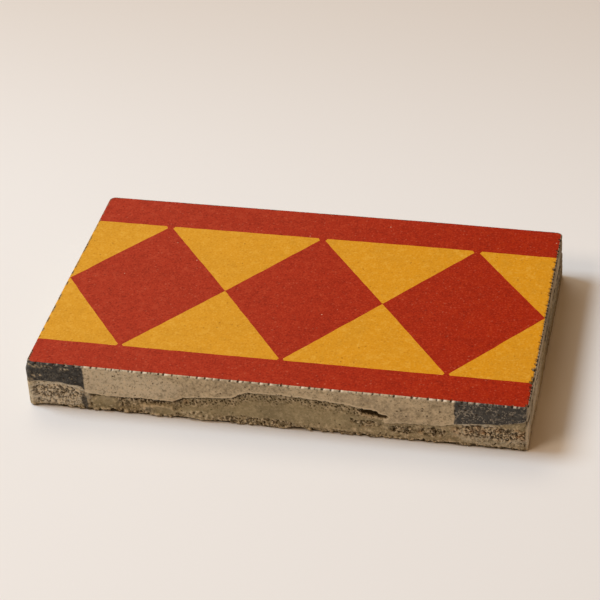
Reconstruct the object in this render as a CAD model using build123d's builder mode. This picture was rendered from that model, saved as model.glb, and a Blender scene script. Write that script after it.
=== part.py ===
"""Pressed cement border tile: a flat slab with a patterned face, worn edges and a broken front side.

The tile lies face up. X runs along the tile, -Y is the front side and Z = 0 is the underside.
All sizes are in millimetres.
"""
import os
from math import atan2, degrees, hypot

from build123d import *
from build123d.topology import SkipClean

# Slab
LENGTH = 165.0
WIDTH = 100.0
THICKNESS = 18.0
CORNER_RADIUS = 2.2
FACE_ARRIS = 0.6
BED_ARRIS = 0.5

# Pattern of the face: a row of diamonds between two plain bands, with coloured cells round the diamonds
DIAMONDS = 3
FRONT_BAND = 12.5
BACK_BAND = 15.5
CELL_TIP_RADIUS = 0.8

# Recess broken out of the front side, deepest under its lip and running out above the underside
RECESS_DEPTH = 1.3
RECESS_FOOT = 2.4
# Each point of the lip: distance along the tile from its middle, and depth below the face
LIP_LEFT = [(-34.0, 11.0), (-29.8, 9.1), (-23.3, 8.2), (-14.0, 7.4)]
LIP_RIGHT = [(-8.7, 4.5), (3.8, 4.3), (15.2, 4.8), (24.5, 5.7), (31.5, 7.1), (35.6, 8.8)]

# Chips knocked off the lower front edge: distance along the tile, length along the edge and height
FRONT_CHIPS = [
    (-76.5, 17.0, 1.7),
    (-57.4, 3.0, 0.9),
    (-47.1, 3.4, 1.0),
    (-28.2, 4.4, 1.3),
    (-20.8, 2.6, 1.0),
    (8.0, 8.6, 1.7),
    (73.0, 23.0, 1.6),
]

# Worked out from the sizes above
FACE_LENGTH = LENGTH - 2 * FACE_ARRIS
DIAMOND_LENGTH = FACE_LENGTH / DIAMONDS
DIAMOND_FRONT = FACE_ARRIS + FRONT_BAND - WIDTH / 2
DIAMOND_BACK = WIDTH / 2 - FACE_ARRIS - BACK_BAND
DIAMOND_MIDDLE = (DIAMOND_FRONT + DIAMOND_BACK) / 2


def above_foot(lip):
    """Give the lip's points as distances along the tile and heights above the foot of the recess."""
    return [(along, THICKNESS - depth - RECESS_FOOT) for along, depth in lip]


lip_left = above_foot(LIP_LEFT)
lip_right = above_foot(LIP_RIGHT)
recess_height = max(height for along, height in lip_left + lip_right)
recess_foot = Plane((0, -WIDTH / 2, RECESS_FOOT), x_dir=(1, 0, 0), z_dir=(0, -1, 0))
recess_floor = recess_foot.rotated((-degrees(atan2(RECESS_DEPTH, recess_height)), 0, 0))

with BuildPart() as border_tile:
    # The pressed slab, with its upright corners and its two arrises worn
    with BuildSketch():
        RectangleRounded(LENGTH, WIDTH, CORNER_RADIUS)
    extrude(amount=THICKNESS)
    fillet(border_tile.faces().sort_by(Axis.Z)[-1].edges(), FACE_ARRIS)
    chamfer(border_tile.faces().sort_by(Axis.Z)[0].edges(), BED_ARRIS)

    # The recess, drawn on its sloping floor and cut outwards
    with BuildSketch(recess_floor):
        with BuildLine():
            Spline(*lip_left)
            Line(lip_left[-1], lip_right[0])
            Spline(*lip_right)
            Polyline(lip_right[-1], (lip_right[-1][0], 0), (lip_left[0][0], 0), lip_left[0])
        make_face()
    extrude(amount=THICKNESS, mode=Mode.SUBTRACT)

    # The chips, each the shell-shaped hollow of a sphere that meets the front and the underside alike
    for along, length, height in FRONT_CHIPS:
        reach = (length**2 / 4 - height**2) / (2 * height)
        with Locations((along, -WIDTH / 2 - reach, -reach)):
            Sphere(hypot(reach, reach + height), mode=Mode.SUBTRACT)

    # The outlines of the coloured cells, flush in the face: a triangle in each gap, halved at the ends
    with BuildSketch(Plane.XY.offset(THICKNESS)):
        for gap in range(DIAMONDS + 1):
            tip = gap * DIAMOND_LENGTH - FACE_LENGTH / 2
            left = max(tip - DIAMOND_LENGTH / 2, -FACE_LENGTH / 2)
            right = min(tip + DIAMOND_LENGTH / 2, FACE_LENGTH / 2)
            for band in (DIAMOND_FRONT, DIAMOND_BACK):
                with BuildLine():
                    Polyline((left, band), (right, band), (tip, DIAMOND_MIDDLE), close=True)
                make_face()
        inner_tips = vertices().filter_by_position(Axis.X, CELL_TIP_RADIUS - FACE_LENGTH / 2,
                                                   FACE_LENGTH / 2 - CELL_TIP_RADIUS)
        fillet(inner_tips, CELL_TIP_RADIUS)
    with SkipClean():
        extrude(amount=-FACE_ARRIS, clean=False)

border_tile.part.label = "border_tile"
os.makedirs("parts", exist_ok=True)
export_step(border_tile.part, "parts/border_tile.step")
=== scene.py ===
"""Dress the pressed cement border tile: its worn block, pigmented face and bare broken sides."""
import math

import bmesh
import bpy
from bpy.props import FloatProperty, FloatVectorProperty, IntProperty, PointerProperty
from mathutils import Euler, Matrix, Vector, noise


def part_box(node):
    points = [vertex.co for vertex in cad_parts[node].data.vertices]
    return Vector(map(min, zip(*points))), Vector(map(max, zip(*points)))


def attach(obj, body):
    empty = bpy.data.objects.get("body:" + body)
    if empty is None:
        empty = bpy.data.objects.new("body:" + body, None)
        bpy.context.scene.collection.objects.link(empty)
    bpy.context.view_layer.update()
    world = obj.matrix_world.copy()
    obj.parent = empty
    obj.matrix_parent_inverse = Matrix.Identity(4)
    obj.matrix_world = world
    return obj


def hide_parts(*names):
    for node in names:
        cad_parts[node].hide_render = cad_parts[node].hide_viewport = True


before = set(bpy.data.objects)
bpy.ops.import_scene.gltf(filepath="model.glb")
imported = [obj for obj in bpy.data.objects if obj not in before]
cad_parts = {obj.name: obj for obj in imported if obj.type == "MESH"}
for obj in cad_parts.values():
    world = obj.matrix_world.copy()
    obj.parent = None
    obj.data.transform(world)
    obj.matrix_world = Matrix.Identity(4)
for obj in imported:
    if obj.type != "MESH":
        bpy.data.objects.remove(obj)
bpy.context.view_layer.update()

bl_info = {
    "name": "Cement Border Tile",
    "version": (1, 0, 0),
    "blender": (4, 5, 0),
    "location": "View3D > Sidebar > Border Tile",
    "description": "Adds a worn cement border tile with a row of diamonds, and a plain stage for it",
    "category": "Add Mesh",
}

NODE = "border_tile"
MM = 0.001
TILE_LOW, TILE_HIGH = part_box(NODE)


def linear(red, green, blue):
    """Turn display values from 0 to 255 into the linear colour that a shader takes."""
    shares = [value / 255 for value in (red, green, blue)]
    return tuple(s / 12.92 if s <= 0.04045 else ((s + 0.055) / 1.055) ** 2.4 for s in shares)


def length_property(name, description, default):
    """A size in metres that a user may change."""
    return FloatProperty(name=name, description=description, default=default, unit="LENGTH", precision=4)


def angle_property(name, description, degrees):
    """An angle that a user may change."""
    return FloatProperty(name=name, description=description, default=math.radians(degrees), subtype="ANGLE")


def power_property(name, description, default):
    """A lamp's power in watts that a user may change."""
    return FloatProperty(name=name, description=description, default=default, unit="POWER")


def colour_property(name, description, default):
    """A linear colour that a user may change."""
    return FloatVectorProperty(name=name, description=description, default=default, subtype="COLOR",
                               size=3, min=0.0, max=1.0)


class BorderTileSizes(bpy.types.PropertyGroup):
    """Sizes of the tile's block, pattern and wear."""

    length: length_property("Length", "Length of the tile, end to end", TILE_HIGH.x - TILE_LOW.x)
    width: length_property("Width", "Width of the tile, front to back", TILE_HIGH.y - TILE_LOW.y)
    thickness: length_property("Thickness", "Thickness of the tile", TILE_HIGH.z - TILE_LOW.z)
    corner: length_property("Corner", "Radius of the upright corners", 2.2 * MM)
    arris: length_property("Arris", "Radius of the worn edge round the face", 0.6 * MM)
    bed_arris: length_property("Bed Arris", "Width of the worn edge round the underside", 0.3 * MM)
    diamonds: IntProperty(name="Diamonds", description="Diamonds in the row", default=3, min=1)
    front_band: length_property("Front Band", "Width of the plain band along the front", 12.5 * MM)
    back_band: length_property("Back Band", "Width of the plain band along the back", 15.5 * MM)
    tip: length_property("Tip", "How far the cells stop short of the diamonds' tips", 1.0 * MM)
    recess_depth: length_property("Recess Depth", "Depth of the front recess under its lip", 1.3 * MM)
    recess_foot: length_property("Recess Foot", "Height where the front recess runs out", 2.4 * MM)


class BorderTileColours(bpy.types.PropertyGroup):
    """Colours of the tile's face and bare cement."""

    red: colour_property("Red", "Pigment of the diamonds and bands", linear(173, 54, 31))
    yellow: colour_property("Yellow", "Pigment of the cells round the diamonds", linear(221, 157, 42))
    facing: colour_property("Facing", "Dense cement of the sides", linear(184, 166, 137))
    backing: colour_property("Backing", "Coarse cement low on the sides", linear(157, 141, 109))
    smooth: colour_property("Smooth", "Olive cement of the lumps and of the recess", linear(150, 137, 105))
    patch: colour_property("Patch", "Dark pigment that ran down two corners", linear(69, 68, 66))
    lace: colour_property("Lace", "Pale specks in the dark pigment", linear(152, 143, 129))
    # The dirt colour is also laid as painted shade under the lip, in the hollows and chips and along the
    # lower edge
    dirt_and_shade: colour_property("Dirt", "Dirt in the pits and under the lip", linear(56, 41, 22))
    rust: colour_property("Rust", "Rusty sand low on the right", linear(172, 118, 66))
    # The chip colour is also the painted highlight on the lit walls of the arris chips
    chip: colour_property("Chip", "Freshly chipped cement along the arris", linear(236, 220, 196))


class BorderTileStage(bpy.types.PropertyGroup):
    """Floor, light and camera round the tile."""

    floor: colour_property("Floor", "Colour of the floor", linear(237, 233, 230))
    # Painted shade: the floor turns to this darker colour behind the tile, standing in for the light falling
    # off
    floor_shade_behind: colour_property("Backdrop", "Colour of the floor far behind", linear(217, 206, 196))
    ambient: colour_property("Ambient", "Colour of the light from all round", (0.26, 0.155, 0.075))
    key: colour_property("Key", "Colour of the key light", (0.68, 0.85, 1.0))
    back: colour_property("Back", "Colour of the broad light behind the tile", (0.95, 0.87, 0.72))
    key_power: power_property("Key Power", "Power of the key light", 59.2)
    key_width: length_property("Key Width", "Width of the key light", 1.26)
    key_rise: length_property("Key Rise", "Extent of the key light up its slope", 1.26)
    key_distance: length_property("Key Distance", "Distance of the key light", 2.8)
    key_turn: angle_property("Key Turn", "Turn of the key light from the left to the front", -4.0)
    key_height: angle_property("Key Height", "Height of the key light above the floor", 51.4)
    back_power: power_property("Back Power", "Power of the broad light behind the tile", 17.2)
    back_width: length_property("Back Width", "Width of the broad light behind the tile", 1.96)
    back_turn: angle_property("Back Turn", "Turn of the back light from the left to the front", -55.0)
    back_height: angle_property("Back Height", "Height of the back light above the floor", 49.4)
    fill: colour_property("Fill", "Colour of the fill light", (1.0, 0.84, 0.66))
    fill_power: power_property("Fill Power", "Power of the fill light", 10.8)
    fill_size: length_property("Fill Size", "Diameter of the fill light", 0.8)
    fill_distance: length_property("Fill Distance", "Distance of the fill light", 2.0)
    fill_turn: angle_property("Fill Turn", "Turn of the fill light from the left to the front", 40.0)
    fill_height: angle_property("Fill Height", "Height of the fill light above the floor", 45.0)
    turn: angle_property("Camera Turn", "Turn of the camera from the front to the right", 13.783)
    rise: angle_property("Camera Rise", "Height of the camera above the floor", 35.626)
    roll: angle_property("Camera Roll", "Roll of the camera about its view", -3.249)
    distance: length_property("Camera Distance", "Distance of the camera from its target", 0.75541)
    lens: FloatProperty(name="Lens", description="Focal length on a 36 mm frame", default=132.12,
                        unit="CAMERA")
    target: FloatVectorProperty(name="Target", description="Point that the camera looks at", size=3,
                                default=(-0.003508, 0.008945, 0.009), subtype="XYZ", unit="LENGTH")


# Front side, in millimetres: along the tile from its middle, and depth below the face
LIP = [(-34.0, 11.0), (-29.8, 9.1), (-23.3, 8.2), (-14.0, 7.4), (-8.7, 4.5), (3.8, 4.3), (15.2, 4.8),
       (24.5, 5.7), (31.5, 7.1), (35.6, 8.8)]
EDGE_LEFT_OF_LIP = [(-82.5, 7.6), (-72.0, 7.4), (-64.5, 8.4), (-62.6, 10.8), (-46.3, 11.0), (-34.5, 10.9)]
EDGE_RIGHT_OF_LIP = [(36.2, 11.6), (41.7, 10.9), (47.7, 10.6), (55.4, 10.4), (58.6, 9.3), (66.0, 8.4),
                     (72.5, 8.0), (77.0, 7.2), (82.5, 5.7)]
# Chips of the lower front edge: along the tile, length along the edge and height
FRONT_CHIPS = [(-76.5, 17.0, 1.7), (-57.4, 3.0, 0.9), (-47.1, 3.4, 1.0), (-28.2, 4.4, 1.3),
               (-20.8, 2.6, 1.0), (8.0, 8.6, 1.7), (73.0, 23.0, 1.6)]
# Oval zones of the front side: along the tile, height, half length, half height and strength.
# First the cavity under the lip and the looser hollows, with their depths as strength; both are also painted
# dark as shade
CAVITY = [(31.2, 9.7, 3.0, 1.4, 2.0), (34.8, 9.0, 2.0, 0.8, 1.3)]
HOLLOWS = [(41.0, 4.2, 3.6, 1.4, 1.2), (44.4, 3.4, 1.8, 0.9, 0.8), (51.8, 4.5, 4.0, 1.6, 1.2),
           (29.0, 6.0, 5.0, 0.9, 0.6), (-43.0, 6.4, 8.5, 1.0, 0.7)]
# Crumbly cement
CRUMBLY = [(-73.0, 6.3, 11.0, 3.0, 0.85), (-73.0, 2.4, 10.0, 2.4, 0.6), (-43.5, 6.0, 9.5, 1.5, 1.0),
           (-50.5, 4.5, 2.2, 2.6, 0.8), (-57.0, 2.0, 6.0, 1.5, 0.4), (-25.5, 2.2, 6.0, 1.9, 0.7),
           (-6.0, 1.8, 16.0, 1.8, 0.8), (30.6, 5.4, 5.4, 1.1, 0.8), (41.5, 4.2, 4.4, 1.8, 0.9),
           (51.8, 4.5, 4.6, 1.9, 0.9), (47.0, 4.6, 10.0, 1.7, 0.45), (70.5, 6.2, 12.5, 3.0, 1.0),
           (73.0, 2.6, 10.0, 1.6, 0.55), (0.0, 0.6, 95.0, 1.2, 0.7)]
# Lumps at the lower left, how far they stand out, and how far the cement between them is sunk
LUMPS = [(-57.0, 3.6, 4.8, 3.2), (-38.2, 2.7, 7.0, 2.2), (-25.0, 2.4, 5.8, 2.0)]
LUMP_RISE = 0.4
LUMP_SINK = 0.8
# Paler cement and, below 0, slaty cement
TONES = [(-73.0, 5.2, 11.0, 5.0, 1.0), (-42.1, 2.4, 3.2, 1.0, -0.8), (-43.5, 6.3, 9.0, 1.0, 0.4),
         (66.0, 9.0, 7.5, 0.7, 0.9), (-25.5, 2.6, 5.0, 1.5, 0.3), (12.0, 6.0, 26.0, 3.0, -0.25),
         (-55.0, 12.0, 26.0, 8.0, 0.45), (70.0, 5.0, 13.0, 4.0, 0.5), (73.0, 2.4, 11.0, 2.2, 0.3),
         (5.0, 15.0, 30.0, 5.0, -0.2)]
# Rusty sand, smooth olive cement, the tail of the left dark run, and where the runs are worn off
RUST = [(70.5, 6.2, 13.0, 3.0, 1.0), (-31.8, 7.0, 3.4, 1.3, 0.7), (29.0, 5.0, 4.6, 1.3, 0.7),
        (47.6, 4.8, 1.8, 1.8, 0.5), (57.0, 2.6, 3.4, 1.8, 0.6)]
SMOOTH = [(-57.0, 3.6, 5.2, 3.4, 0.9), (-36.0, 2.7, 5.4, 2.2, 0.9), (-25.0, 2.4, 5.8, 2.0, 0.7),
          (71.0, 2.2, 9.0, 1.6, 0.6)]
BLOTCH = (-63.7, 3.4, 1.1, 3.4, 0.9)
WORN = [(-81.0, 12.3, 3.0, 1.3, 1.0), (-79.5, 16.6, 5.5, 0.8, 0.8), (-70.0, 16.3, 1.4, 0.5, 0.9)]
# Share of the depth of chips longer than this that the dirt packed in them leaves open
LONG_CHIP = 10.0
CHIP_OPEN = 0.55
# How much the arris of each side is chipped, and how strongly its chips are painted with shade and highlight
ARRIS_WEAR = {"front": 1.0, "right": 1.5, "back": 0.15, "left": 0.15}
# Larger chips of the right arris: along the side, and how far they reach into the face
RIGHT_ARRIS_CHIPS = [(-25.0, 0.5), (-29.7, 1.1), (-36.4, 1.2), (-39.0, 0.7)]
# Ends of the dark runs along the front, and how far they go round the corners
LEFT_PATCH_END = -63.2
RIGHT_PATCH_START = 58.8
PATCH_RETURN = 13.0
# Mean height where the dense facing of the other sides stops
OTHER_EDGE = 11.8
# Least and greatest height of the worn lower edge
WEAR_LEAST = 0.35
WEAR_MOST = 1.2

# How far the tips of the pattern stray, by half diamonds from the left and by front, middle or back
TIP_SHIFTS = {(1, -1): (0.4, 0.0), (5, -1): (-0.3, 0.0), (1, 1): (-0.3, 0.0), (5, 1): (-0.3, 0.0),
              (2, 0): (0.5, -0.2)}

# How blunt the cells' tips are at the front, in the middle and at the back
TIP_SHARES = {-1: 1.15, 0: 0.3, 1: 1.6}

# How far the back corners lie inside the square: both along the tile, and the right one across it too,
# and how far along the tile that reaches
BACK_LEFT_IN = 0.7
BACK_LEFT_REACH = 14.0
BACK_RIGHT_IN = 0.4
BACK_RIGHT_REACH = 24.0
BACK_RIGHT_FORWARD = 0.55
BACK_FORWARD_REACH = 50.0
# How far the left end stands out below its arris, and how much more it does at the front
BULGE = 0.35
BULGE_AT_FRONT = 0.6

# Segments of the rounded corners, the arris and the edge of the bed
CORNER_SEGMENTS = 5
ARRIS_SEGMENTS = 3
BED_SEGMENTS = 2
# Mesh spacing, in millimetres
FRONT_STEP = 0.33
END_STEP = 0.40
BACK_STEP = 0.42
ROW_STEP = 0.33
BED_RINGS = (0.7, 0.7)
BED_STEP = 3.0
EDGE_STEP = 1.6
# How far the pigments' edges wander, and how ragged they are
EDGE_WANDER = 0.14
EDGE_RAGGED = 0.06
# Rings along the edge of the face
FACE_RING = 0.42
FACE_RINGS = 3
# Spacing of the small chips along the arris of each side
NOTCH_STEP = {"front": 2.6, "right": 1.8, "back": 2.6, "left": 2.6}
# Seed of the noise vectors, so that each run bends the relief alike
NOISE_SEED = 5
# Distances of the two rows that are drawn to the lip
LIP_ABOVE = 0.02
LIP_BELOW = 0.10
# How often the relief is evened out, and the depth below the evened surface that counts as a full hollow
EVEN_ROUNDS = 6
HOLLOW_DEPTH = 0.25
# How far the chipped edge of the face drops, and how uneven the underside is
BARE_DROP = 0.3
BED_UNEVEN = 0.16
# Least upright part of a level face's normal, distances that count as none, and one that is merged
LEVEL = 0.99
SAME = 1e-4
NEAR = 1e-3
MERGED = 0.02
# Layout of the unwrapped tile: length of the face, gap, and the shares of the ends and of the underside
UNWRAP_LENGTH = 0.88
UNWRAP_GAP = 0.012
UNWRAP_ENDS = 0.83
UNWRAP_BED = 0.33
# Gloss of the pigments and of the cement
GLOSS = 0.1
# Width of the camera's sensor, in millimetres, and the nearest distance it shows, in metres
SENSOR = 36.0
NEAREST = 0.01
# Floor, in metres: half its size, and where its painted shade starts and ends behind the tile
FLOOR_REACH = 3.0
FLOOR_SHADE_START = 0.04
FLOOR_SHADE_END = 0.32


def smooth_step(low, high, value):
    """Rise smoothly from 0 at low to 1 at high."""
    share = min(max((value - low) / (high - low), 0.0), 1.0)
    return share * share * (3.0 - 2.0 * share)


def line_at(points, along):
    """Value of a broken line at one place along it."""
    for (x0, y0), (x1, y1) in zip(points, points[1:]):
        if along <= x1:
            return y0 + (y1 - y0) * max((along - x0) / (x1 - x0), 0.0)
    return points[-1][1]


def wander(point, size, seed=0.0):
    """Smooth noise from -1 to 1 with grains of about that size."""
    return noise.noise((point + Vector((seed, 2.0 * seed, -seed))) / size)


def pit(point, size, share, seed=0.0):
    """Depth from 0 to 1 of scattered round pits, one in a share of the cells of that size."""
    spot = (point + Vector((seed, -seed, 3.0 * seed))) / size
    distances, centres = noise.voronoi(spot)
    chance = 0.5 + 0.5 * noise.cell(centres[0] * 37.0)
    if chance > share:
        return 0.0
    radius = 0.22 + 0.3 * chance / share
    return smooth_step(1.0, 0.25, distances[0] / radius)


def crumbs(point, size, seed=0.0):
    """Depth from 0 on the tops of closely packed crumbs of that size to 1 in the gaps between them."""
    distances = noise.voronoi((point + Vector((-seed, seed, 2.0 * seed))) / size)[0]
    return smooth_step(0.25, 0.8, distances[0])


def inside(point, zone, ragged):
    """How far a point lies inside an oval zone of the front side, from 0 to 1."""
    along, height, half_length, half_height = zone[:4]
    reach = math.hypot((point.x - along) / half_length, (point.z - height) / half_height)
    return smooth_step(1.2, 0.7, reach + ragged)


def strongest(point, zones, ragged):
    """How strongly the oval zones of the front side show at a point."""
    return max(zone[4] * inside(point, zone, ragged) for zone in zones)


class Notch:
    """The nearest small chip along an arris: the place across it, its reach, how fresh it is, and how far its
    painted highlight runs.
    """

    def __init__(self, along, side, step):
        self.across = math.inf
        index = math.floor(along / step)
        for near in (index - 1, index, index + 1):
            draws = (noise.cell(Vector((near + 0.5, side, row))) for row in (0.5, 7.5, 13.5))
            place, size, fresh = (0.5 + 0.5 * draw for draw in draws)
            across = (along - (near + 0.1 + 0.8 * place) * step) / (0.14 + 0.28 * size)
            if abs(across) < abs(self.across):
                self.across = across
                self.reach = (0.1 + 0.5 * size) * max(1.0 - across * across, 0.0)
                self.fresh = smooth_step(0.25, 0.8, fresh)
                self.far = 1.5 + 4.0 * fresh


class TileForm:
    """The tile's sizes in millimetres, and the relief of its sides."""

    def __init__(self, sizes):
        for name in ("length", "width", "thickness", "corner", "arris", "bed_arris", "tip", "recess_depth",
                     "recess_foot"):
            setattr(self, name, getattr(sizes, name) / MM)
        self.diamonds = sizes.diamonds
        self.front = -self.width / 2
        self.face_length = self.length - 2 * self.arris
        self.face_width = self.width - 2 * self.arris
        self.cells_front = self.front + self.arris + sizes.front_band / MM
        self.cells_back = self.width / 2 - self.arris - sizes.back_band / MM
        self.cells_middle = (self.cells_front + self.cells_back) / 2
        self.pitch = self.face_length / self.diamonds
        self.lip_top = self.thickness - min(depth for along, depth in LIP)

    def on_front(self, normal):
        """Whether a point with that outward normal belongs to the front side."""
        return normal.y < -0.7 * math.hypot(normal.x, normal.y)

    def facing_edge(self, point, front):
        """Height where the dense facing of a side stops."""
        if front:
            return self.thickness - line_at(EDGE_LEFT_OF_LIP + LIP + EDGE_RIGHT_OF_LIP, point.x)
        flat = Vector((point.x, point.y, 0.0))
        return OTHER_EDGE + 1.4 * wander(flat, 24.0, 5.0) + 0.7 * wander(flat, 7.0, 9.0)

    def in_recess(self, along):
        """How fully the recess is open at one place along the front, from 0 to 1."""
        start, end = LIP[0][0], LIP[-1][0]
        return smooth_step(start - 0.4, start + 3.0, along) * smooth_step(end + 0.6, end - 5.0, along)

    def recess(self, point):
        """Depth of the recess at a point of the front side."""
        lip = self.thickness - line_at(LIP, point.x)
        if point.z >= lip or point.z <= self.recess_foot:
            return 0.0
        slope = self.recess_depth / (self.lip_top - self.recess_foot)
        return slope * (point.z - self.recess_foot) * self.in_recess(point.x)

    def patch(self, point, edge, front):
        """How dark the pigment runs are at a point of a side, from 0 to 1."""
        ragged = 0.35 * wander(point, 0.9, 21.0) + 0.5 * wander(point, 3.0, 22.0)
        above = smooth_step(-0.12, 0.2, point.z - edge + 0.5 * ragged)
        if front:
            left = smooth_step(0.15, -0.15, point.x - LEFT_PATCH_END + 0.6 * ragged)
            right = smooth_step(-0.15, 0.15, point.x - RIGHT_PATCH_START + 0.6 * ragged)
            worn = strongest(point, WORN, ragged)
            worn *= smooth_step(-0.05, 0.3, wander(point, 0.8, 23.0))
            run = above * max(left, right) * (1.0 - worn)
            return max(run, BLOTCH[4] * inside(point, BLOTCH, 1.2 * ragged))
        near = point.y - self.front
        if point.x > 0.0:
            above = smooth_step(-0.5, 0.8, point.z - edge + 5.0 * smooth_step(1.5, 5.0, near) + ragged)
        strength = 0.3 if point.x > 0.0 else 0.95
        return strength * above * smooth_step(0.8, -0.8, near - PATCH_RETURN + 3.0 * ragged)

    def crumbly(self, point, front, ragged):
        """How crumbly the backing is at a point of a side, from 0 to 1."""
        if front:
            return strongest(point, CRUMBLY, ragged)
        flat = Vector((0.4 * point.x, 0.4 * point.y, point.z))
        return 0.8 * smooth_step(-0.1, 0.45, wander(flat, 5.0, 25.0) + 0.3 * wander(point, 2.0, 26.0))

    def tone(self, point, front, ragged):
        """How pale or, below 0, how slaty the cement is at a point of a side."""
        if front:
            return sum(zone[4] * inside(point, zone, ragged) for zone in TONES)
        right_end = smooth_step(3.0, 1.0, self.length / 2 - point.x)
        near = smooth_step(5.0, -25.0, point.y)
        return 0.5 * wander(point, 8.0, 27.0) + right_end * (1.15 * near - 0.5)

    def relief(self, point, normal):
        """Depth of the broken surface at a point of a side, with what shows there."""
        front = self.on_front(normal)
        ragged = 0.25 * wander(point, 1.1, 3.0) + 0.3 * wander(point, 3.5, 4.0)
        edge = self.facing_edge(point, front)
        below = edge - point.z
        open_lip = self.in_recess(point.x) if front else 0.0
        backing = smooth_step(-0.2, 0.4, below + (1.0 - open_lip) * ragged)
        crumbly = backing * self.crumbly(point, front, 0.5 * ragged)
        pitted = backing * open_lip * smooth_step(5.2, 2.2, below + 2.0 * ragged)

        depth = 0.10 * (1.0 + wander(point, 14.0, 2.0)) + 0.04 * (1.0 + wander(point, 2.5, 6.0))
        pits = 0.0
        if backing > 0.0:
            bent = point + 0.5 * noise.noise_vector(point / 1.3)
            gaps = crumbs(bent, 1.15, 11.0)
            holes = max(pit(bent, 1.2, 0.5, 13.0), 0.9 * pit(bent, 0.9, 0.5, 14.0))
            low = 0.3 + 0.7 * smooth_step(0.0, 5.0, point.z)
            lumps = 0.3 * low * (1.0 + wander(point, 6.0, 7.0)) * (1.0 - 0.75 * open_lip)
            grit = 0.5 + 0.5 * noise.turbulence(point / 1.4, 3, False)
            carved = 0.6 * crumbly * (gaps - 0.3) + 0.6 * max(crumbly, 0.4 * pitted) * holes
            depth += (1.0 if front else 0.3) * (backing * (0.05 + lumps + 0.12 * grit) + carved)
            pits = 0.85 * max(crumbly, 0.5 * pitted) * holes
            pits = max(pits, 0.45 * crumbly * smooth_step(0.5, 0.95, gaps))
        if front:
            depth += self.recess(point)
            sunk = backing * smooth_step(-63.0, -61.5, point.x) * smooth_step(-29.0, -33.0, point.x)
            sunk *= smooth_step(0.3, 1.0, below) * smooth_step(0.3, 2.4, point.z)
            lump = max(inside(point, zone, 0.8 * ragged) for zone in LUMPS)
            depth += LUMP_SINK * sunk * (1.0 - lump) - LUMP_RISE * lump * (1.0 - sunk)
            pits *= 1.0 - 0.7 * lump
            crumbly = max(crumbly * (1.0 - 0.7 * lump), 0.5 * sunk * (1.0 - lump))
            olive = strongest(point, SMOOTH, 0.5 * ragged)
            floor = open_lip * backing * (1.0 - pitted) * smooth_step(2.6, 4.4, point.z + ragged)
            olive = max(olive, 0.8 * floor)
            caves = pit(point + 0.6 * noise.noise_vector(point / 1.6), 1.5, 0.9, 15.0)
            # The cavity and hollows are painted dark, as shade in them
            for zone in CAVITY + HOLLOWS:
                closed = 0.2 if zone in CAVITY else 0.9
                hole = inside(point, zone, ragged) * (1.0 - closed * (1.0 - caves))
                depth += zone[4] * hole
                pits = max(pits, smooth_step(0.1, 0.5, hole))
            # A painted shadow just under the lip of the recess
            lip_shadow = smooth_step(-0.05, 0.1, below) * smooth_step(0.9, 0.3, below + ragged)
            pits = max(pits, 0.75 * open_lip * lip_shadow)
        else:
            groove = smooth_step(-0.1, 0.3, below) * smooth_step(2.0, 1.0, below + 2.5 * ragged)
            depth += 0.3 * groove + 0.3 * (1.0 - backing)
            pits = max(pits, groove * (0.2 + 0.8 * smooth_step(-0.2, 0.3, wander(point, 4.0, 34.0))))
            olive = 0.0
        depth *= 1.0 - 0.7 * smooth_step(3.0 - self.length / 2, 0.2 - self.length / 2, point.x)
        shown = {"backing": backing, "crumbly": crumbly, "pitted": pitted, "pits": pits,
                 "patch": self.patch(point, edge, front), "tone": self.tone(point, front, 0.5 * ragged),
                 "rust": strongest(point, RUST, 0.5 * ragged) if front else 0.0,
                 "olive": olive}
        return depth, shown

    def bulge(self, point):
        """How far the left end stands out below its arris, most of all near the front."""
        end = smooth_step(3.0 - self.length / 2, 0.2 - self.length / 2, point.x)
        out = BULGE + BULGE_AT_FRONT * smooth_step(-35.0, -47.0, point.y)
        return out * end * smooth_step(self.thickness, self.thickness - 4.0, point.z)

    def edge_wear(self, point, front):
        """Depth worn off a side near the bed, so that its lower edge is ragged."""
        flat = Vector((point.x, point.y, 0.0))
        height = min(0.5 + 1.6 * wander(flat, 4.5, 31.0) + 2.0 * wander(flat, 1.5, 32.0), WEAR_MOST)
        least = max(height, WEAR_LEAST)
        return (least if front else 0.4 * max(height, 0.0)) * smooth_step(least, 0.0, point.z)

    def scoop(self, point, normal):
        """Distance that a point sinks into the nearest chip of the lower front edge."""
        deepest = 0.0
        for along, length, height in FRONT_CHIPS:
            reach = (length ** 2 / 4 - height ** 2) / (2 * height)
            away = point - Vector((along, self.front - reach, -reach))
            within = math.hypot(reach, reach + height) ** 2 - away.length_squared
            if within > 0.0:
                run = away.dot(normal)
                share = CHIP_OPEN if length > LONG_CHIP else 1.0
                deepest = max(deepest, share * (run + math.sqrt(run * run + within)))
        return deepest

    def arris_chips(self, point, side):
        """How far the face is chipped back at a point of its edge, with the notch that is nearest."""
        along = point.x if side in ("front", "back") else point.y
        notch = Notch(along, {"front": 1.5, "back": 2.5, "right": 3.5, "left": 4.5}[side], NOTCH_STEP[side])
        reach = ARRIS_WEAR[side] * (notch.reach + 0.16 * max(wander(point, 3.0, 62.0), 0.0))
        if side == "right":
            for place, size in RIGHT_ARRIS_CHIPS:
                scallop = size * (1.0 - ((along - place) / size) ** 2)
                reach = max(reach, scallop + 0.3 * wander(point, 0.8, 64.0))
        return reach, notch


def edges_along(bm, axis):
    """Edges that run along one axis."""
    chosen = []
    for edge in bm.edges:
        run = edge.verts[1].co - edge.verts[0].co
        if abs(run[axis]) > 0.999 * run.length:
            chosen.append(edge)
    return chosen


def bevel(bm, geom, width, segments, affect="EDGES"):
    """Round edges or points off and give back the new faces."""
    return bmesh.ops.bevel(bm, geom=geom, offset=width, segments=segments, affect=affect, profile=0.5,
                           offset_type="OFFSET", material=-1)["faces"]


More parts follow.
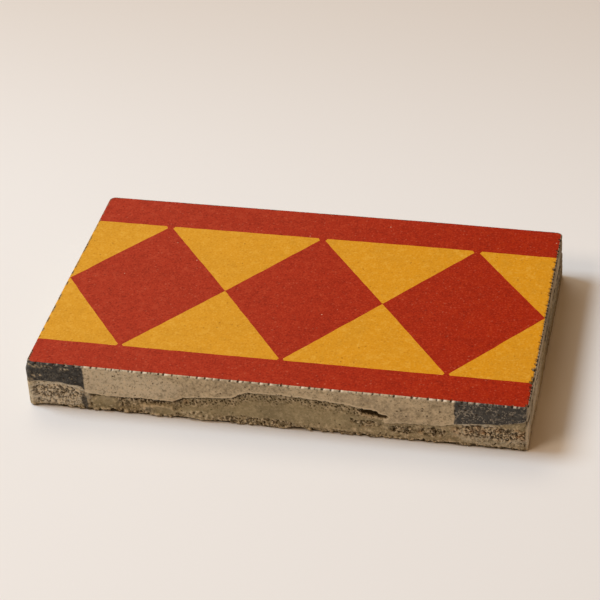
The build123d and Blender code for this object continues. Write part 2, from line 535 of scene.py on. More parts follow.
def block(bm, form):
    """A block with worn upright corners and arrises, standing on the floor."""
    bmesh.ops.create_cube(bm, size=1.0)
    bmesh.ops.scale(bm, vec=(form.length, form.width, form.thickness), verts=bm.verts)
    bmesh.ops.translate(bm, vec=(0, 0, form.thickness / 2), verts=bm.verts)
    bevel(bm, edges_along(bm, 2), form.corner, CORNER_SEGMENTS)
    face = max(bm.faces, key=lambda f: f.calc_center_median().z)
    bevel(bm, list(face.edges), form.arris, ARRIS_SEGMENTS)
    bed = min(bm.faces, key=lambda f: f.calc_center_median().z)
    bevel(bm, list(bed.edges), form.bed_arris, BED_SEGMENTS)


def divide(bm, edges, run, step):
    """Divide edges of one run into even steps."""
    bmesh.ops.subdivide_edges(bm, edges=edges, cuts=round(run / step) - 1, use_only_quads=True)


def divide_sides(bm, form):
    """Divide the sides and arrises into small squares, finest at the front."""
    divide(bm, edges_along(bm, 2), form.thickness - form.arris - form.bed_arris, ROW_STEP)
    run = form.length - 2 * form.corner
    lengthwise = edges_along(bm, 0)
    front = [edge for edge in lengthwise if edge.verts[0].co.y < 0]
    back = [edge for edge in lengthwise if edge.verts[0].co.y > 0]
    divide(bm, front, run, FRONT_STEP)
    divide(bm, back, run, BACK_STEP)
    divide(bm, edges_along(bm, 1), form.width - 2 * form.corner, END_STEP)


def level_faces(bm, height):
    """Faces that lie level at one height."""
    level = [f for f in bm.faces if abs(f.normal.z) > LEVEL]
    return [f for f in level if abs(f.calc_center_median().z - height) < SAME]


def largest(faces):
    """The face with the greatest area."""
    return max(faces, key=lambda f: f.calc_area())


def add_ring(bm, height, width):
    """Lay a ring of faces inside the edge of the largest level face at one height."""
    faces = [largest(level_faces(bm, height))]
    bmesh.ops.inset_region(bm, faces=faces, thickness=width, use_even_offset=True)
    bm.normal_update()


def cut(bm, faces, point, normal):
    """Cut some faces along a plane and give back what they became."""
    geom = dict.fromkeys(faces)
    for face in faces:
        geom.update(dict.fromkeys([*face.edges, *face.verts]))
    done = bmesh.ops.bisect_plane(bm, geom=list(geom), dist=SAME, plane_co=point, plane_no=normal)
    return [item for item in done["geom"] if isinstance(item, bmesh.types.BMFace)]


def draw_face(bm, form):
    """Cut the pattern into the face, blunt the cells' tips, and give back the yellow cells."""
    for _ in range(FACE_RINGS):
        add_ring(bm, form.thickness, FACE_RING)
    faces = level_faces(bm, form.thickness)
    for line in (form.cells_front, form.cells_back):
        faces = cut(bm, faces, (0, line, form.thickness), (0, 1, 0))
    row = [f for f in faces if form.cells_front < f.calc_center_median().y < form.cells_back]
    rise = form.cells_back - form.cells_front
    for index in range(form.diamonds + 1):
        crossing = (index * form.pitch - form.face_length / 2, form.cells_middle, form.thickness)
        for slant in (-1, 1):
            row = cut(bm, row, crossing, (rise, slant * form.pitch, 0))
    tops = [v for v in bm.verts if abs(v.co.z - form.thickness) < SAME]
    bmesh.ops.remove_doubles(bm, verts=tops, dist=MERGED)
    rows, tips = {-1: [], 0: [], 1: []}, []
    for vert in bm.verts:
        if abs(vert.co.z - form.thickness) > SAME:
            continue
        steps = (vert.co.x + form.face_length / 2) / (form.pitch / 2)
        if 0.5 < steps < 2 * form.diamonds - 0.5 and abs(steps - round(steps)) < NEAR:
            level = {-1: form.cells_front, 0: form.cells_middle, 1: form.cells_back}
            row = next((side for side in level if abs(vert.co.y - level[side]) < NEAR), None)
            if row is None or (row == 0) != (round(steps) % 2 == 0):
                continue
            tips.append((vert, TIP_SHIFTS.get((round(steps), row), (0.0, 0.0))))
            rows[row].append(vert)
    for vert, (along, across) in tips:
        vert.co += Vector((along, across, 0.0))
    necks = set()
    for row, verts in rows.items():
        necks.update(bevel(bm, verts, TIP_SHARES[row] * form.tip, 1, "VERTICES"))
    bm.normal_update()
    return [f for f in level_faces(bm, form.thickness) if f not in necks and is_cell(form, f)]


def is_cell(form, face):
    """Whether a face of the pattern is one of the cells round the diamonds."""
    centre = face.calc_center_median()
    if not form.cells_front < centre.y < form.cells_back:
        return False
    steps = (centre.x + form.face_length / 2) / form.pitch
    across = abs(steps - math.floor(steps) - 0.5) * 2
    up = abs(centre.y - form.cells_middle) / ((form.cells_back - form.cells_front) / 2)
    return across + up > 1.0


def roughen_pattern(bm, cells):
    """Let the pigments' edges wander a little, as they do when they are poured by hand."""
    within = set(cells)
    edges = dict.fromkeys(e for f in cells for e in f.edges if not within.issuperset(e.link_faces))
    level = [e for e in edges if all(abs(f.normal.z) > LEVEL for f in e.link_faces)]
    for edge in level:
        cuts = int(edge.calc_length() / EDGE_STEP)
        if cuts > 0:
            made = bmesh.ops.subdivide_edges(bm, edges=[edge], cuts=cuts, use_only_quads=True)
            for vert in (item for item in made["geom_inner"] if isinstance(item, bmesh.types.BMVert)):
                for axis, seed in ((0, 41.0), (1, 43.0)):
                    ragged = EDGE_RAGGED * wander(vert.co, 1.5, seed + 1.0)
                    vert.co[axis] += EDGE_WANDER * wander(vert.co, 4.0, seed) + ragged


def divide_bed(bm, form):
    """Divide the underside into rings and a grid that can be uneven."""
    for width in BED_RINGS:
        add_ring(bm, 0.0, width)
    faces = [largest(level_faces(bm, 0.0))]
    for axis, size in ((0, form.length), (1, form.width)):
        normal = Vector((0, 0, 0))
        normal[axis] = 1.0
        count = int(size / BED_STEP)
        for index in range(1, count):
            faces = cut(bm, faces, normal * (index * BED_STEP - size / 2), normal)


def unwrap(bm, form):
    """Lay the face, the four sides and the underside side by side on a square."""
    layer = bm.loops.layers.uv.new("OFBake")
    scale = UNWRAP_LENGTH / form.length
    gap = UNWRAP_GAP
    strip = 1.25 * form.thickness * scale
    first = gap + form.width * scale + gap
    for face in bm.faces:
        normal = face.normal
        centre = face.calc_center_median()
        for loop in face.loops:
            x, y, z = loop.vert.co
            if normal.z > 0.95:
                uv = (gap + (x + form.length / 2) * scale, gap + (y + form.width / 2) * scale)
            elif normal.z < -0.95:
                small = UNWRAP_BED * scale
                uv = (0.9 + (y + form.width / 2) * small, 0.02 + (x + form.length / 2) * small)
            else:
                lengthwise = abs(normal.y) >= abs(normal.x)
                along = x + form.length / 2 if lengthwise else y + form.width / 2
                inset = form.width / 2 - abs(y) if lengthwise else form.length / 2 - abs(x)
                upper = centre.z > form.thickness / 2
                up = z + (inset if upper else -inset) + form.bed_arris
                faces_low = (normal.y if lengthwise else normal.x) < 0
                line = (0 if faces_low else 1) if lengthwise else 2
                shift = 0.0 if lengthwise or faces_low else form.width * scale * UNWRAP_ENDS + gap
                squeeze = 1.0 if lengthwise else UNWRAP_ENDS
                uv = (gap + shift + along * scale * squeeze, first + line * (strip + gap) + up * scale)
            loop[layer].uv = uv


def snap_to_lip(form, points):
    """Draw the rows of the front side to the lip of the recess, so that it breaks off cleanly."""
    for vert, normal in points:
        if not form.on_front(normal) or form.in_recess(vert.co.x) <= 0.0:
            continue
        ragged = 0.18 * wander(Vector((vert.co.x, 0, 0)), 1.7, 51.0)
        lip = form.thickness - line_at(LIP, vert.co.x) + ragged
        steps = (vert.co.z - lip) / ROW_STEP
        if -0.5 < steps <= 0.5:
            vert.co.z = lip + LIP_ABOVE
        elif -1.5 < steps <= -0.5:
            vert.co.z = lip - LIP_BELOW


def side_of(point, form):
    """Name of the side that is nearest to a point."""
    ends = form.length / 2 - abs(point.x)
    if ends < form.width / 2 - abs(point.y):
        return "right" if point.x > 0 else "left"
    return "back" if point.y > 0 else "front"


def wear_tile(bm, form):
    """Break, pit and chip the sides, and record on each point what shows there, with its painted shade and
    highlights.
    """
    # Pale, dark and hollow carry painted highlight and shade; pits and bare carry some painted shade as well
    names = ("backing", "crumbly", "pitted", "pits", "patch", "tone", "rust", "pale", "dark", "bare",
             "hollow", "olive")
    layers = {name: bm.verts.layers.float.new(name) for name in names}
    sides = [(v, v.normal.copy()) for v in bm.verts if not is_level(v)]
    level = [v for v in bm.verts if is_level(v)]
    snap_to_lip(form, sides)
    depths = {}
    for vert, normal in sides:
        point = vert.co.copy()
        side = side_of(point, form)
        depth, shown = form.relief(point, normal)
        depth *= 0.2 + 0.8 * smooth_step(form.thickness - 0.2, form.thickness - 1.8, point.z)
        arris = smooth_step(form.thickness - 0.6, form.thickness - 0.35, point.z)
        if arris > 0.0:
            reach, notch = form.arris_chips(point, side)
            depth += 0.5 * arris * reach
            share = arris * ARRIS_WEAR[side]
            # The pale mark is a painted highlight on the lit right wall of each notch, with pale patches
            # along the arris; the dark mark is a painted shadow on its left wall
            fresh = notch.fresh if side == "front" and point.x > LEFT_PATCH_END else 0.3 * notch.fresh
            if point.x > RIGHT_PATCH_START:
                fresh *= 0.6
            lit = smooth_step(0.3, 0.9, notch.across) * smooth_step(notch.far, 0.5 * notch.far, notch.across)
            spread = 0.35 * smooth_step(0.1, 0.5, wander(point, 1.2, 63.0))
            shown["pale"] = share * max(fresh * lit, spread) if side != "right" else 0.0
            dark = smooth_step(-1.7, -0.9, notch.across) * smooth_step(0.9, 0.2, notch.across)
            shown["dark"] = share * dark
            # The right arris, turned from the light, gets painted shade all along, darker in its chips
            if side == "right":
                shown["dark"] = max(shown["dark"], arris * (0.4 + 0.6 * smooth_step(0.0, 0.4, reach)))
            shown["bare"] = smooth_step(0.0, 0.25, reach)
            # Along the back and left arris the chipped colour is laid in patches, partly wear and partly
            # painted shade along the edge
            if side in ("back", "left"):
                shown["bare"] = max(shown["bare"], arris * smooth_step(-0.3, 0.3, wander(point, 2.5, 65.0)))
        depth += form.edge_wear(point, side == "front")
        scooped = form.scoop(point, normal)
        if scooped > 0.0:
            depth = max(depth, scooped * (1.0 + 0.2 * wander(point, 1.2, 71.0)))
        # A painted contact shadow along the bottom, and painted shadow in the chips of the lower front edge
        contact_shadow = 0.9 * smooth_step(0.5, 0.1, point.z + 0.3 * wander(point, 1.6, 73.0))
        shown["dark"] = max(shown.get("dark", 0.0), contact_shadow, 0.9 * smooth_step(0.15, 0.5, scooped))
        for name, value in shown.items():
            vert[layers[name]] = value
        vert.co = point - normal * depth + Vector((normal.x, normal.y, 0.0)) * form.bulge(point)
        depths[vert] = depth
    # The hollow measure drives painted shade in the dips and a painted highlight on the raised tops
    for vert, hollow in hollows(depths).items():
        vert[layers["hollow"]] = hollow
    for vert in level:
        point = vert.co
        if point.z > 1.0:
            inset = min(form.face_length / 2 - abs(point.x), form.face_width / 2 - abs(point.y))
            if inset < (FACE_RINGS - 0.5) * FACE_RING:
                reach, notch = form.arris_chips(point, side_of(point, form))
                bare = smooth_step(0.1, -0.25, inset - reach)
                vert[layers["bare"]] = bare
                vert.co.z -= BARE_DROP * bare
        else:
            from_edge = form.width / 2 - abs(point.y)
            uneven = BED_UNEVEN * (1.0 + wander(point, 9.0, 81.0)) * smooth_step(0.0, 3.0, from_edge)
            vert[layers["backing"]] = 1.0
            # Painted shade on the rim of the bed, darker towards its edges
            vert[layers["dark"]] = smooth_step(3.0, 1.0, min(from_edge, form.length / 2 - abs(point.x)))
            vert.co.z += max(uneven, form.scoop(point, Vector((0, 0, -1))))
    for vert in bm.verts:
        vert.co += out_of_square(form, vert.co)


def out_of_square(form, point):
    """How far a point lies from its place in a true rectangle."""
    back = smooth_step(-40.0, 50.0, point.y)
    face = smooth_step(form.thickness - 3.0, form.thickness - 0.3, point.z)
    left = smooth_step(BACK_LEFT_REACH, 0.0, point.x + form.length / 2)
    right = smooth_step(BACK_RIGHT_REACH, 0.0, form.length / 2 - point.x)
    forward = smooth_step(BACK_FORWARD_REACH, 0.0, form.length / 2 - point.x)
    inward = face * (BACK_LEFT_IN * left - BACK_RIGHT_IN * right)
    return Vector((inward, -BACK_RIGHT_FORWARD * forward, 0.0)) * back


def hollows(depths):
    """How far each point lies below, from 0 to 1, or above, from 0 to -1, the evened surface round it."""
    around = {v: [n for n in (e.other_vert(v) for e in v.link_edges) if n in depths] for v in depths}
    even = depths
    for _ in range(EVEN_ROUNDS):
        even = {v: sum(even[n] for n in near) / len(near) for v, near in around.items()}
    return {v: min(max((depths[v] - even[v]) / HOLLOW_DEPTH, -1.0), 1.0) for v in depths}


def is_level(vert):
    """Whether all the faces round a point lie level."""
    return all(abs(face.normal.z) > LEVEL for face in vert.link_faces)


def tile_mesh(form):
    """Model the tile and give back its mesh, in metres."""
    noise.seed_set(NOISE_SEED)
    bm = bmesh.new()
    block(bm, form)
    divide_sides(bm, form)
    bm.normal_update()
    cells = draw_face(bm, form)
    divide_bed(bm, form)
    bm.normal_update()
    roughen_pattern(bm, cells)
    bm.normal_update()
    unwrap(bm, form)
    cells = set(cells)
    for face in bm.faces:
        level = face.normal.z > LEVEL and face.calc_center_median().z > form.thickness - NEAR
        rounded = not level and face.normal.z > 0.3
        if level:
            face.material_index = 2 if face in cells else 1
        elif rounded and side_of(face.calc_center_median(), form) in ("back", "left"):
            face.material_index = 2 if is_cell(form, face) else 1
        face.smooth = not level
    wear_tile(bm, form)
    bmesh.ops.scale(bm, vec=(MM, MM, MM), verts=bm.verts)
    mesh = bpy.data.meshes.new("cement_tile")
    bm.to_mesh(mesh)
    bm.free()
    return mesh


def add_node(tree, kind, inputs=None, **settings):
    """Add a shader node, with its settings and the values or links of its inputs."""
    node = tree.nodes.new(kind)
    for name, value in settings.items():
        setattr(node, name, value)
    for name, value in (inputs or {}).items():
        if isinstance(value, bpy.types.NodeSocket):
            tree.links.new(value, node.inputs[name])
        else:
            node.inputs[name].default_value = value
    return node


class Finish:
    """A material under construction, with short ways to add its nodes."""

    def __init__(self, name):
        self.material = bpy.data.materials.new(name)
        self.material.use_nodes = True
        self.tree = self.material.node_tree
        self.shader = self.tree.nodes["Principled BSDF"]
        self.place = add_node(self.tree, "ShaderNodeTexCoord").outputs["Object"]

    def grain(self, size, detail=2.0, roughness=0.5, shift=0.0):
        """Noise from 0 to 1 with grains of a size in millimetres."""
        where = self.place
        if shift:
            moved = {"Vector": where, "Location": (shift, -shift, shift)}
            where = add_node(self.tree, "ShaderNodeMapping", moved, vector_type="POINT").outputs["Vector"]
        return add_node(self.tree, "ShaderNodeTexNoise",
                        {"Vector": where, "Scale": 1.0 / (size * MM), "Detail": detail,
                         "Roughness": roughness}).outputs["Fac"]

    def flat(self):
        """The place on the upright sides, laid out flat."""
        place = add_node(self.tree, "ShaderNodeSeparateXYZ", {"Vector": self.place}).outputs
        across = self.join("ADD", place["X"], place["Y"])
        return add_node(self.tree, "ShaderNodeCombineXYZ", {"X": across, "Y": place["Z"]}).outputs["Vector"]

    def bent(self, size, reach, place=None):
        """A place on the tile, bent to and fro by a reach in millimetres."""
        bend = add_node(self.tree, "ShaderNodeTexNoise", {"Vector": self.place, "Scale": 1.0 / (size * MM)})
        centred = add_node(self.tree, "ShaderNodeVectorMath", {0: bend.outputs["Color"], 1: (0.5, 0.5, 0.5)},
                           operation="SUBTRACT").outputs["Vector"]
        scaled = add_node(self.tree, "ShaderNodeVectorMath", {"Vector": centred, "Scale": 2.0 * reach * MM},
                          operation="SCALE").outputs["Vector"]
        ends = {0: place or self.place, 1: scaled}
        return add_node(self.tree, "ShaderNodeVectorMath", ends).outputs["Vector"]

    def spots(self, size, place=None, dimensions="3D"):
        """Distance to the nearest of scattered points of a spacing in millimetres, and their chances."""
        spread = {"Vector": place or self.place, "Scale": 1.0 / (size * MM)}
        node = add_node(self.tree, "ShaderNodeTexVoronoi", spread, voronoi_dimensions=dimensions)
        chance = add_node(self.tree, "ShaderNodeSeparateColor", {"Color": node.outputs["Color"]})
        return node.outputs["Distance"], chance.outputs["Red"]

    def gaps(self, size, place):
        """Distance to the gaps between packed crumbs of a size in millimetres."""
        return add_node(self.tree, "ShaderNodeTexVoronoi", {"Vector": place, "Scale": 1.0 / (size * MM)},
                        feature="DISTANCE_TO_EDGE").outputs["Distance"]

    def attribute(self, name):
        """A value that is kept on the points of the mesh."""
        return add_node(self.tree, "ShaderNodeAttribute", attribute_name=name).outputs["Fac"]

    def between(self, value, low, high, start=0.0, end=1.0):
        """Rise smoothly from start to end as a value goes from low to high."""
        return add_node(self.tree, "ShaderNodeMapRange",
                        {"Value": value, "From Min": low, "From Max": high, "To Min": start, "To Max": end},
                        interpolation_type="SMOOTHSTEP").outputs["Result"]

    def join(self, operation, first, second):
        """Add, multiply or otherwise join two values."""
        node = add_node(self.tree, "ShaderNodeMath", {0: first, 1: second}, operation=operation)
        return node.outputs["Value"]

    def times(self, first, second):
        """Multiply two values."""
        return self.join("MULTIPLY", first, second)

    def most(self, first, second):
        """The greater of two values."""
        return self.join("MAXIMUM", first, second)

    def blend(self, share, first, second, mode="MIX"):
        """Mix two colours by a share."""
        node = add_node(self.tree, "ShaderNodeMix", data_type="RGBA", blend_type=mode)
        for name, value in (("Factor_Float", share), ("A_Color", first), ("B_Color", second)):
            socket = next(s for s in node.inputs if s.identifier == name)
            if isinstance(value, bpy.types.NodeSocket):
                self.tree.links.new(value, socket)
            elif name == "Factor_Float":
                socket.default_value = value
            else:
                socket.default_value = (*value[:3], 1.0)
        return next(s for s in node.outputs if s.identifier == "Result_Color")

    def tint(self, colour, tone, value, low, high, share=1.0):
        """Mix up to a share of a tone into a colour as a value goes from low to high."""
        return self.blend(self.between(value, low, high, 0.0, share), colour, tone)

    def lay(self, colour, tone, mask, share):
        """Lay a share of a tone over a colour where a mask says so."""
        return self.blend(self.times(mask, share), colour, tone)

    def dots(self, spots, near, chances):
        """Dots round those of the scattered points whose chances allow it."""
        distance, chance = spots
        return self.times(self.between(distance, *near), self.between(chance, *chances))

    def finish(self, colour, roughness, height, distance):
        """Join colour, roughness and relief to the shader and give back the material."""
        relief = {"Height": height, "Distance": distance * MM, "Strength": 1.0}
        bump = add_node(self.tree, "ShaderNodeBump", relief)
        self.tree.links.new(colour, self.shader.inputs["Base Color"])
        self.tree.links.new(roughness, self.shader.inputs["Roughness"])
        self.tree.links.new(bump.outputs["Normal"], self.shader.inputs["Normal"])
        self.shader.inputs["Specular IOR Level"].default_value = GLOSS
        return self.material


def shade(colour, share):
    """A lighter or darker tone of a colour."""
    return tuple(min(value * share, 1.0) for value in colour[:3])


def along_tile(finish):
    """How far a point lies along the tile, from 0 at the left end to 1 at the right."""
    place = add_node(finish.tree, "ShaderNodeSeparateXYZ", {"Vector": finish.place})
    return finish.between(place.outputs["X"], TILE_LOW.x, TILE_HIGH.x)


def chipped(finish, colour, colours):
    """Lay bare the cement where the pigment is chipped off, dark with dirt and painted shade and patchy with
    pale cement.
    """
    bare = finish.attribute("bare")
    patchy = finish.times(bare, finish.between(finish.grain(0.6, 2.0, 0.6, 0.9), 0.3, 0.5, 0.5, 1.0))
    broken = finish.tint(colours.dirt_and_shade, shade(colours.backing, 0.8), finish.grain(0.7, 2.0, 0.6), 0.45, 0.6)
    return finish.blend(patchy, colour, broken)


def red_finish(colours):
    """Red pigmented cement: close, with fine sand, rare pale grains and a painted sheen that pales it towards
    the left end.
    """
    finish = Finish("red_pigment")
    red = tuple(colours.red)
    colour = finish.tint(red, shade(red, 0.75), finish.grain(16.0, 4.0, 0.6), 0.3, 0.7, 0.25)
    mottle = finish.grain(2.6, 3.0, 0.6, 0.6)
    colour = finish.tint(colour, linear(186, 74, 49), mottle, 0.5, 0.68, 0.4)
    colour = finish.tint(colour, shade(red, 0.72), mottle, 0.48, 0.34, 0.4)
    # Painted sheen: paler at the left end, deeper towards the right
    left_sheen = finish.blend(along_tile(finish), (0.99, 0.99, 0.99), (0.91, 0.46, 0.04))
    colour = finish.blend(1.0, colour, left_sheen, "MULTIPLY")
    sand = finish.grain(0.65, 2.0, 0.7, 0.3)
    colour = finish.tint(colour, linear(196, 80, 52), sand, 0.53, 0.7, 0.5)
    colour = finish.tint(colour, linear(116, 22, 8), sand, 0.47, 0.3, 0.65)
    pale = finish.dots(finish.spots(1.2, finish.bent(0.6, 0.3)), (0.35, 0.1), (0.8, 0.9))
    colour = finish.lay(colour, linear(216, 130, 100), pale, 0.25)
    bright = finish.dots(finish.spots(4.5), (0.07, 0.03), (0.7, 0.8))
    colour = finish.lay(colour, linear(236, 186, 156), bright, 0.7)
    colour = chipped(finish, colour, colours)
    roughness = finish.between(sand, 0.3, 0.7, 0.66, 0.82)
    return finish.finish(colour, roughness, sand, 0.08)


def yellow_finish(colours):
    """Yellow pigmented cement: faint clouds, brown pits and fine sand."""
    finish = Finish("yellow_pigment")
    yellow = tuple(colours.yellow)
    # Painted sheen: paler at the left end, deeper and warmer towards the right, as on the red
    colour = finish.blend(along_tile(finish), shade(yellow, 0.98),
                          (yellow[0] * 0.98, yellow[1] * 0.87, yellow[2] * 0.25))
    colour = finish.tint(colour, shade(yellow, 0.84), finish.grain(12.0, 4.0, 0.6), 0.35, 0.7, 0.35)
    mottle = finish.grain(2.8, 3.0, 0.6, 0.6)
    colour = finish.tint(colour, linear(232, 176, 66), mottle, 0.52, 0.7, 0.35)
    colour = finish.tint(colour, shade(yellow, 0.82), mottle, 0.48, 0.3, 0.35)
    sand = finish.grain(0.7, 2.0, 0.7, 0.7)
    colour = finish.tint(colour, linear(238, 186, 88), sand, 0.53, 0.72, 0.4)
    colour = finish.tint(colour, linear(182, 114, 20), sand, 0.47, 0.3, 0.45)
    hole = finish.dots(finish.spots(2.2, finish.bent(0.6, 0.3)), (0.22, 0.06), (0.7, 0.85))
    colour = finish.lay(colour, linear(140, 86, 20), hole, 0.4)
    colour = chipped(finish, colour, colours)
    roughness = finish.between(sand, 0.3, 0.7, 0.66, 0.82)
    height = finish.join("SUBTRACT", sand, hole)
    return finish.finish(colour, roughness, height, 0.08)


def cement_finish(colours):
    """Bare pressed cement: dense facing, coarse backing, dark runs, dirt in the pits, painted shade in the
    dips and chips, and painted highlights on crumbs, raised tops and chip walls.
    """
    finish = Finish("bare_cement")
    facing, backing = tuple(colours.facing), tuple(colours.backing)
    clouds = finish.between(finish.grain(9.0, 4.0, 0.6), 0.3, 0.7)
    mottle = finish.grain(2.0, 3.0, 0.65, 0.5)
    sand = finish.grain(0.8, 2.0, 0.7, 0.2)
    bent = finish.bent(0.7, 0.4)
    crumbly, pitted = finish.attribute("crumbly"), finish.attribute("pitted")
    smooth = finish.blend(clouds, shade(facing, 0.84), shade(facing, 1.18))
    coarse = finish.blend(clouds, shade(backing, 0.85), shade(backing, 1.12))
    colour = finish.blend(finish.attribute("backing"), smooth, coarse)
    tone = finish.attribute("tone")
    colour = finish.tint(colour, linear(208, 196, 174), tone, 0.0, 1.0)
    colour = finish.tint(colour, colours.patch, tone, 0.0, -1.0, 0.7)
    rust = finish.times(finish.attribute("rust"), finish.between(finish.grain(2.2, 2.0, 0.6), 0.4, 0.65))
    colour = finish.lay(colour, colours.rust, rust, 0.6)
    colour = finish.lay(colour, shade(backing, 0.6), pitted, 0.25)
    colour = finish.tint(colour, shade(facing, 1.35), mottle, 0.51, 0.66, 0.55)
    colour = finish.tint(colour, shade(backing, 0.6), mottle, 0.48, 0.32, 0.55)
    colour = finish.tint(colour, shade(facing, 1.4), sand, 0.53, 0.7, 0.55)
    colour = finish.tint(colour, shade(backing, 0.45), sand, 0.47, 0.3, 0.65)
    olive = finish.blend(clouds, shade(colours.smooth, 0.85), shade(colours.smooth, 1.12))
    olive = finish.tint(olive, shade(colours.smooth, 0.6), sand, 0.45, 0.3, 0.4)
    colour = finish.tint(colour, olive, finish.attribute("olive"), 0.0, 1.0, 0.65)
    # Pale crumbs, a painted highlight on the crumbs' tops; they are raised in the bump as well
    lit_crumbs = finish.times(finish.dots(finish.spots(1.0, bent), (0.55, 0.25), (0.55, 0.45)), crumbly)
    colour = finish.lay(colour, shade(facing, 1.45), lit_crumbs, 0.7)
    spots = finish.spots(0.95, finish.bent(0.5, 0.2, finish.flat()), "2D")
    hole = finish.times(finish.dots(spots, (0.36, 0.2), (0.1, 0.2)), pitted)
    loose = finish.times(finish.dots(spots, (0.36, 0.2), (0.5, 0.6)), crumbly)
    broken = finish.between(finish.grain(1.6, 2.0, 0.6, 0.4), 0.46, 0.56)
    stroke = finish.times(finish.between(finish.gaps(1.5, bent), 0.15, 0.05), broken)
    loose = finish.most(loose, finish.times(stroke, crumbly))
    hole = finish.most(hole, loose)
    pinhole = finish.dots(finish.spots(1.7), (0.22, 0.1), (0.45, 0.5))
    hole = finish.most(hole, finish.times(pinhole, 0.9))
    hollow = finish.attribute("hollow")
    # Painted highlight on the tops that stand above the evened surface
    colour = finish.tint(colour, shade(facing, 1.4), hollow, -0.1, -0.7, 0.65)
    stain = finish.tint(shade(colours.patch, 0.65), shade(colours.patch, 1.2), mottle, 0.4, 0.6)
    stain = finish.tint(stain, shade(colours.patch, 1.7), along_tile(finish), 0.4, 0.6, 0.25)
    speck = finish.dots(finish.spots(0.7, bent), (0.45, 0.2), (0.4, 0.5))
    arc = finish.times(finish.between(finish.gaps(1.3, bent), 0.16, 0.05), broken)
    lace = finish.most(speck, arc)
    lace = finish.times(lace, finish.between(finish.grain(3.0, 2.0, 0.6, 0.8), 0.38, 0.55))
    lace = finish.times(lace, finish.between(along_tile(finish), 0.0, 1.0, 0.2, 0.85))
    stain = finish.blend(lace, stain, colours.lace)
    stain = finish.tint(stain, shade(facing, 0.8), sand, 0.58, 0.75, 0.4)
    colour = finish.blend(finish.attribute("patch"), colour, stain)
    # Dirt in the pits and crumb gaps, with painted shade under the lip, in the front cavity and hollows, and
    # wherever the surface dips below the evened surface
    dirt_and_shade = finish.most(finish.between(finish.attribute("pits"), 0.15, 0.85), hole)
    dirt_and_shade = finish.most(dirt_and_shade, finish.between(hollow, 0.2, 0.8, 0.0, 0.95))
    colour = finish.lay(colour, colours.dirt_and_shade, dirt_and_shade, 0.9)
    # Painted highlight on the lit wall of each arris chip, with pale patches along the arris
    colour = finish.lay(colour, colours.chip, finish.attribute("pale"), 0.9)
    # Painted shade: the shadowed wall of each arris chip, the right arris, the chips of the lower front edge,
    # a contact line along the bottom and the rim of the bed
    colour = finish.lay(colour, shade(colours.dirt_and_shade, 0.5), finish.attribute("dark"), 0.9)
    roughness = finish.between(sand, 0.3, 0.7, 0.82, 0.95)
    height = finish.join("SUBTRACT", finish.join("ADD", sand, lit_crumbs), hole)
    return finish.finish(colour, roughness, height, 0.2)


def add_object(context, name, data):
    """Add an object to the scene."""
    made = bpy.data.objects.new(name, data)
    context.scene.collection.objects.link(made)
    return made


class BORDER_TILE_OT_add_tile(bpy.types.Operator):
    """Add the worn tile in place of its plain block"""

    bl_idname = "border_tile.add_tile"
    bl_label = "Add Tile"
    bl_options = {"REGISTER", "UNDO"}

    def execute(self, context):
        form = TileForm(context.scene.border_tile_sizes)
        colours = context.scene.border_tile_colours
        mesh = tile_mesh(form)
        for material in (cement_finish(colours), red_finish(colours), yellow_finish(colours)):
            mesh.materials.append(material)
        tile = add_object(context, "cement_tile", mesh)
        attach(tile, "root")
        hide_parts(NODE)
        return {"FINISHED"}


def add_floor(context, stage):
    """A wide floor under the tile, with painted shade that darkens it behind the tile."""
    bm = bmesh.new()
    bmesh.ops.create_grid(bm, x_segments=1, y_segments=1, size=FLOOR_REACH)
    mesh = bpy.data.meshes.new("floor")
    bm.to_mesh(mesh)
    bm.free()
    finish = Finish("floor")
    place = add_node(finish.tree, "ShaderNodeSeparateXYZ", {"Vector": finish.place})
    # Painted shade: the floor darkens behind the tile
    behind = finish.between(place.outputs["Y"], FLOOR_SHADE_START, FLOOR_SHADE_END)
    colour = finish.blend(behind, stage.floor, stage.floor_shade_behind)
    finish.tree.links.new(colour, finish.shader.inputs["Base Color"])
    finish.shader.inputs["Roughness"].default_value = 1.0
    finish.shader.inputs["Specular IOR Level"].default_value = 0.0
    mesh.materials.append(finish.material)
    floor = add_object(context, "floor", mesh)


def add_lamp(context, stage, name, size, distance):
    """An oval soft light that looks at the tile, with the colour, power, turn and height of its name."""
    light = bpy.data.lights.new(name, "AREA")
    light.shape = "ELLIPSE"
    light.color = getattr(stage, name)
    light.energy = getattr(stage, name + "_power")
    light.size, light.size_y = size
    turn, height = getattr(stage, name + "_turn"), getattr(stage, name + "_height")
    away = Vector((-math.cos(turn) * math.cos(height), -math.sin(turn) * math.cos(height), math.sin(height)))
    lamp = add_object(context, name, light)
    lamp.location = away * distance
    lamp.rotation_euler = away.to_track_quat("Z", "Y").to_euler()


def add_light(context, stage):
    """A soft key light from the left, weaker lights behind and in front, and a dim light from all round."""
    add_lamp(context, stage, "key", (stage.key_width, stage.key_rise), stage.key_distance)
    add_lamp(context, stage, "back", (stage.back_width, stage.key_rise), stage.key_distance)
    add_lamp(context, stage, "fill", (stage.fill_size, stage.fill_size), stage.fill_distance)
    world = bpy.data.worlds.new("ambient")
    world.use_nodes = True
    world.node_tree.nodes["Background"].inputs["Color"].default_value = (*stage.ambient, 1.0)
    context.scene.world = world


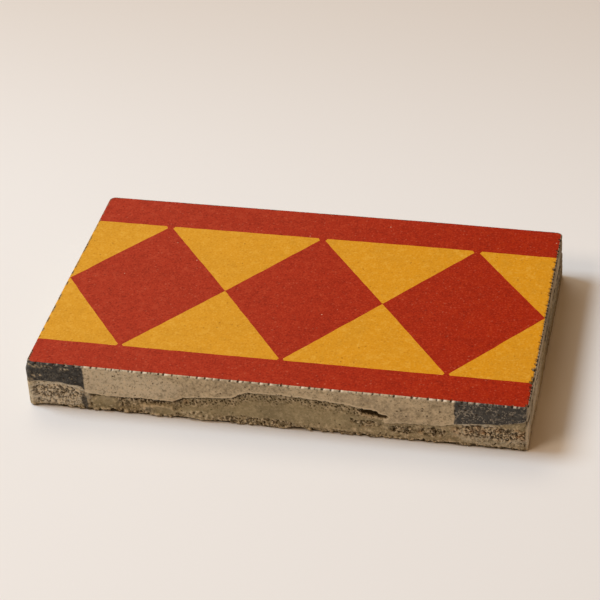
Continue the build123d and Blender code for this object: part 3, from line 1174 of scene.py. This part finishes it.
def add_camera(context, stage):
    """A camera at the photograph's viewing angle."""
    camera = bpy.data.cameras.new("camera")
    camera.lens = stage.lens
    camera.sensor_width = SENSOR
    camera.clip_start = NEAREST
    away = Vector((math.sin(stage.turn) * math.cos(stage.rise), -math.cos(stage.turn) * math.cos(stage.rise),
                   math.sin(stage.rise)))
    looker = add_object(context, "camera", camera)
    level = Euler((math.pi / 2 - stage.rise, 0.0, stage.turn)).to_matrix()
    look = level @ Matrix.Rotation(stage.roll, 3, "Z")
    looker.matrix_world = Matrix.Translation(Vector(stage.target) + away * stage.distance) @ look.to_4x4()
    context.scene.camera = looker


class BORDER_TILE_OT_add_stage(bpy.types.Operator):
    """Add the floor, the lights and the camera"""

    bl_idname = "border_tile.add_stage"
    bl_label = "Add Stage"
    bl_options = {"REGISTER", "UNDO"}

    def execute(self, context):
        stage = context.scene.border_tile_stage
        add_floor(context, stage)
        add_light(context, stage)
        add_camera(context, stage)
        context.scene.view_settings.view_transform = "Standard"
        return {"FINISHED"}


class BORDER_TILE_PT_panel(bpy.types.Panel):
    """List the tile's sizes, colours and stage"""

    bl_label = "Border Tile"
    bl_idname = "BORDER_TILE_PT_panel"
    bl_space_type = "VIEW_3D"
    bl_region_type = "UI"
    bl_category = "Border Tile"

    def draw(self, context):
        groups = (context.scene.border_tile_sizes, context.scene.border_tile_colours)
        for group in groups:
            for name in group.__annotations__:
                self.layout.prop(group, name)
        self.layout.operator(BORDER_TILE_OT_add_tile.bl_idname)
        for name in context.scene.border_tile_stage.__annotations__:
            self.layout.prop(context.scene.border_tile_stage, name)
        self.layout.operator(BORDER_TILE_OT_add_stage.bl_idname)


CLASSES = (BorderTileSizes, BorderTileColours, BorderTileStage, BORDER_TILE_OT_add_tile,
           BORDER_TILE_OT_add_stage, BORDER_TILE_PT_panel)


def register():
    """Register the classes and hang their settings on the scene."""
    for item in CLASSES:
        bpy.utils.register_class(item)
    bpy.types.Scene.border_tile_sizes = PointerProperty(type=BorderTileSizes)
    bpy.types.Scene.border_tile_colours = PointerProperty(type=BorderTileColours)
    bpy.types.Scene.border_tile_stage = PointerProperty(type=BorderTileStage)


def unregister():
    """Take the settings off the scene and the classes out again."""
    del bpy.types.Scene.border_tile_stage
    del bpy.types.Scene.border_tile_colours
    del bpy.types.Scene.border_tile_sizes
    for item in reversed(CLASSES):
        bpy.utils.unregister_class(item)


def main():
    """Build the tile and its stage."""
    register()
    bpy.ops.border_tile.add_tile()
    bpy.ops.border_tile.add_stage()


if __name__ == "__main__":
    main()
